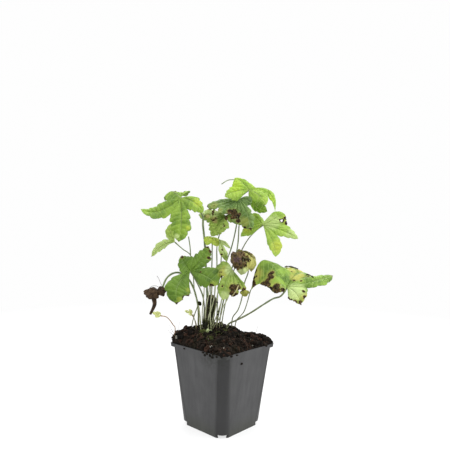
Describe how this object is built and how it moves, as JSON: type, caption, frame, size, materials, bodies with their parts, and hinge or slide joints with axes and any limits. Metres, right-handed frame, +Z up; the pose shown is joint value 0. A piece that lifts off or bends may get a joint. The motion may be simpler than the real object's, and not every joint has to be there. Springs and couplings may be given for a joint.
{
  "type": "potted cranesbill plant",
  "caption": "Young woodland cranesbill with lobed green and withering brown leaves on long thin stalks, in a square black nursery pot heaped with dark soil.",
  "frame": {"origin": "centre of the pot's underside, on the surface that it stands on", "axes": "+Z up; X and Y square to the pot's sides; the pot's corner at +X -Y is turned to the front"},
  "size_m": [0.1692, 0.1683, 0.2925],
  "materials": {
    "pot_plastic": "thin black plastic, satin, with fine upright moulding lines",
    "soil": "crumbly dark potting soil",
    "rootstock": "pale knotted stem base",
    "stalk_dead": "dry and dark",
    "stalk_pale": "thin and fibrous",
    "leaf_green": "soft leaf, slightly glossy above",
    "leaf_light": "thin leaf with light through it",
    "leaf_dark": "shaded leaf",
    "leaf_pale": "pale seedling leaf",
    "leaf_withered": "withered leaf, brown and curled",
    "leaf_dead": "dead leaf, dry and folded"
  },
  "bodies": {
    "root": {"pot": "pot_plastic", "soil": "soil", "rootstock": "rootstock", "stalk_old": "stalk_dead", "stalk_thin": "stalk_pale", "leaf_upper_left": "leaf_green", "leaf_left_small": "leaf_light", "leaf_lower_left": "leaf_green", "leaf_front_middle": "leaf_light", "leaf_lower_right": "leaf_green", "leaf_upper_right": "leaf_light", "leaf_dark_middle": "leaf_dark", "leaf_top": "leaf_light", "leaf_middle_green": "leaf_dark", "leaf_yellow_folded": "leaf_light", "leaf_narrow_green": "leaf_light", "leaf_brown_curled": "leaf_withered", "seedling_left": "leaf_pale", "seedling_right": "leaf_pale", "leaf_shrivelled": "leaf_dead"}
  },
  "joints": []
}
